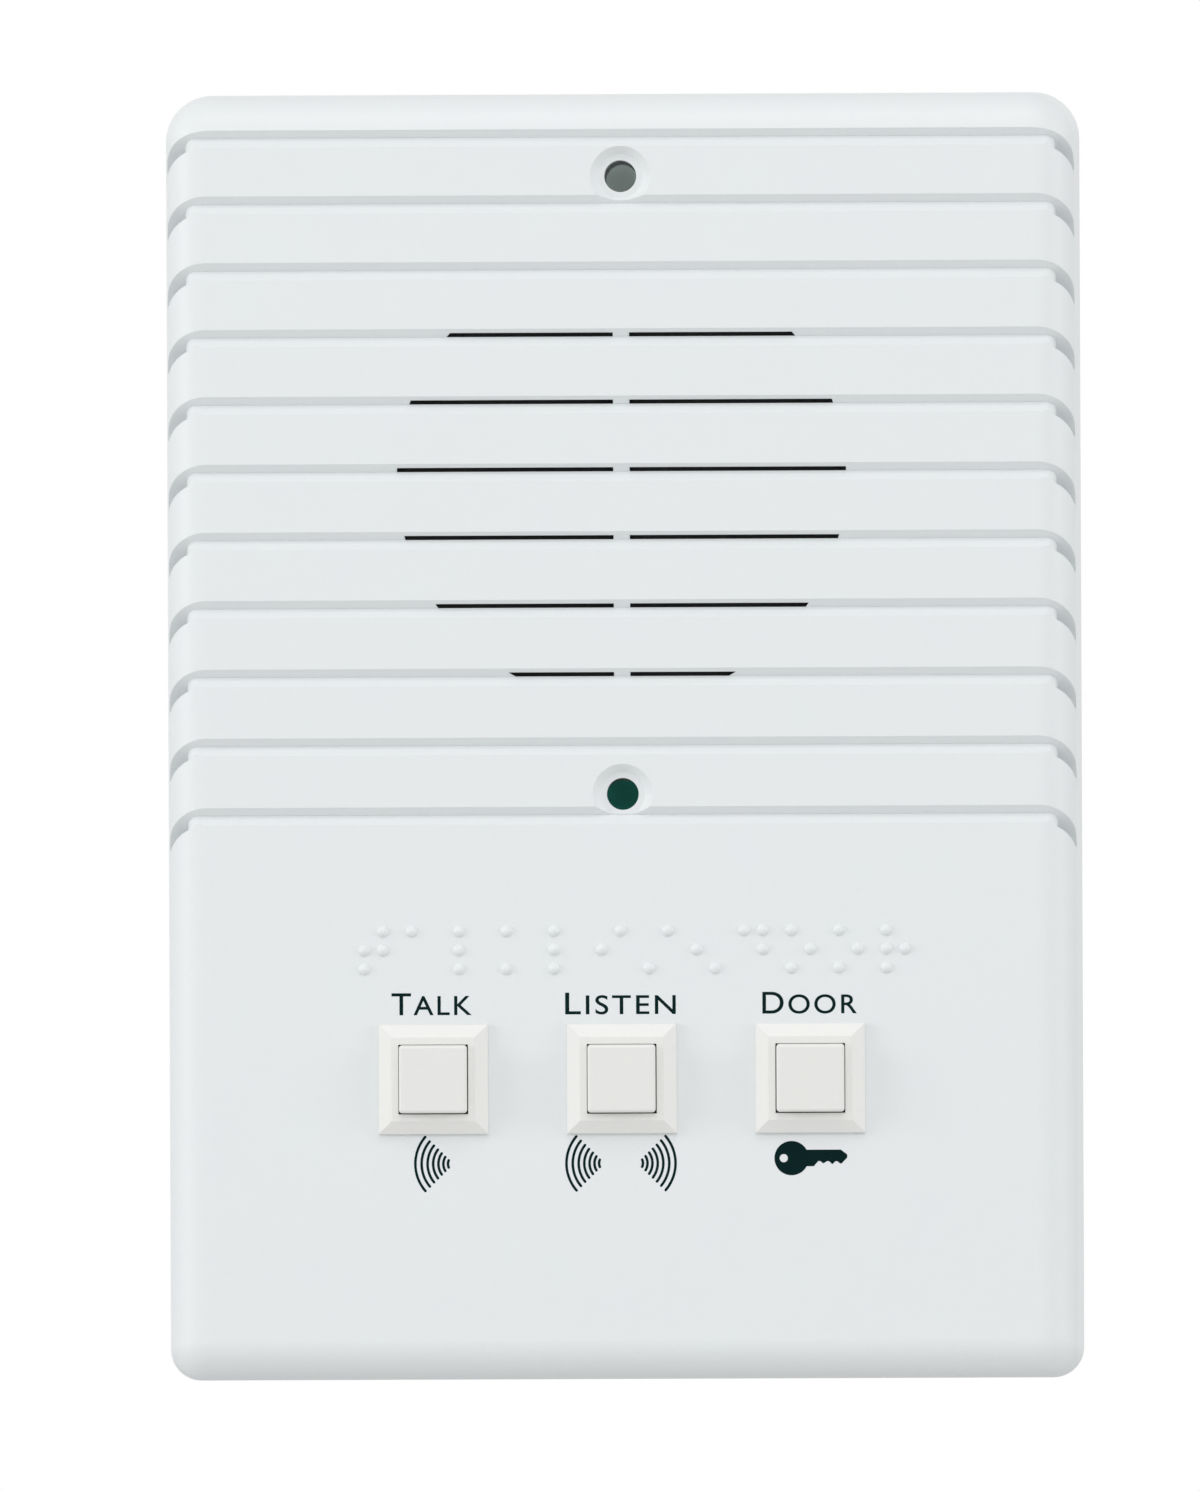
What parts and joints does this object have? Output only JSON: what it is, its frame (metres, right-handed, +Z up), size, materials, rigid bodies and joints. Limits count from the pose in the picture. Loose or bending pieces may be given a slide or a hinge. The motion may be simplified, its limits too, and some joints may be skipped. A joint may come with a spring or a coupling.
{
  "type": "wall-mounted door intercom station",
  "caption": "Flat wall-mounted door intercom station with a louvred speaker front, braille legends and three square push-buttons.",
  "frame": {"origin": "on the wall plane, midway between the two wall-screw holes", "axes": "+Z up, +X to the right seen from the room, +Y into the wall; the front faces -Y"},
  "size_m": [0.1244, 0.0352, 0.175],
  "materials": {
    "cover_plastic": "off-white moulded plastic with a satin sheen",
    "bezel_plastic": "warm off-white moulded plastic, satin to glossy",
    "button_plastic": "warm off-white moulded plastic, satin to glossy",
    "plate_steel": "zinc-plated sheet steel",
    "screw_steel": "zinc-plated screws",
    "basket_steel": "pressed zinc-plated steel",
    "yoke_steel": "zinc-plated pole plates",
    "spring_steel": "bare spring steel",
    "ferrite": "dark grey ceramic magnet",
    "dust_cloth": "black acoustic cloth",
    "gasket_card": "dark card ring",
    "surround_cloth": "treated cloth",
    "cone_paper": "black pulp paper",
    "dust_cap_paper": "black felted paper",
    "spider_cloth": "amber impregnated cloth",
    "coil_wire": "enamelled copper wire on a paper former",
    "tag_board": "brown laminated paper",
    "tinned_brass": "tinned brass",
    "board_laminate": "dark green lacquered laminate",
    "switch_plastic": "black moulded plastic",
    "plunger_plastic": "natural acetal",
    "terminal_plastic": "blue moulded plastic",
    "capacitor_sleeve": "dark blue plastic sleeve on a metal can",
    "resistor_body": "tan lacquer",
    "legend_ink": "dark teal printed ink",
    "red_lead": "red insulation",
    "black_lead": "black insulation"
  },
  "bodies": {
    "station": {"front_cover": "cover_plastic", "back_plate": "plate_steel", "back_plate_screws": "screw_steel", "dust_cloth": "dust_cloth", "speaker_gasket": "gasket_card", "cone_surround": "surround_cloth", "speaker_basket": "basket_steel", "speaker_spider": "spider_cloth", "speaker_top_plate": "yoke_steel", "speaker_magnet": "ferrite", "speaker_yoke": "yoke_steel", "speaker_push_nuts": "spring_steel", "speaker_tag_strip": "tag_board", "speaker_solder_tags": "tinned_brass", "switch_pins": "tinned_brass", "circuit_board": "board_laminate", "board_screws": "screw_steel", "terminal_block": "terminal_plastic", "terminal_screws": "screw_steel", "board_capacitor": "capacitor_sleeve", "board_resistors": "resistor_body", "red_speaker_lead": "red_lead", "black_speaker_lead": "black_lead", "talk_bezel": "bezel_plastic", "talk_switch": "switch_plastic", "talk_return_spring": "spring_steel", "listen_bezel": "bezel_plastic", "listen_switch": "switch_plastic", "listen_return_spring": "spring_steel", "door_bezel": "bezel_plastic", "door_switch": "switch_plastic", "door_return_spring": "spring_steel"},
    "talk_button": {"talk_button": "button_plastic", "talk_plunger": "plunger_plastic"},
    "listen_button": {"listen_button": "button_plastic", "listen_plunger": "plunger_plastic"},
    "door_button": {"door_button": "button_plastic", "door_plunger": "plunger_plastic"},
    "speaker_cone": {"speaker_cone": "cone_paper", "dust_cap": "dust_cap_paper", "voice_coil": "coil_wire"}
  },
  "joints": [
    {"name": "talk_press", "type": "slide", "parent": "station", "child": "talk_button", "axis": [0, 1, 0], "range_m": [0, 0.0015], "stiffness_N_per_m": 800, "springref_m": -0.0006, "deforming": ["talk_return_spring"]},
    {"name": "listen_press", "type": "slide", "parent": "station", "child": "listen_button", "axis": [0, 1, 0], "range_m": [0, 0.0015], "stiffness_N_per_m": 800, "springref_m": -0.0006, "deforming": ["listen_return_spring"]},
    {"name": "door_press", "type": "slide", "parent": "station", "child": "door_button", "axis": [0, 1, 0], "range_m": [0, 0.0015], "stiffness_N_per_m": 800, "springref_m": -0.0006, "deforming": ["door_return_spring"]},
    {"name": "cone_stroke", "type": "slide", "parent": "station", "child": "speaker_cone", "axis": [0, -1, 0], "range_m": [-0.0005, 0.0005], "stiffness_N_per_m": 1500, "deforming": ["cone_surround", "speaker_spider"]}
  ]
}
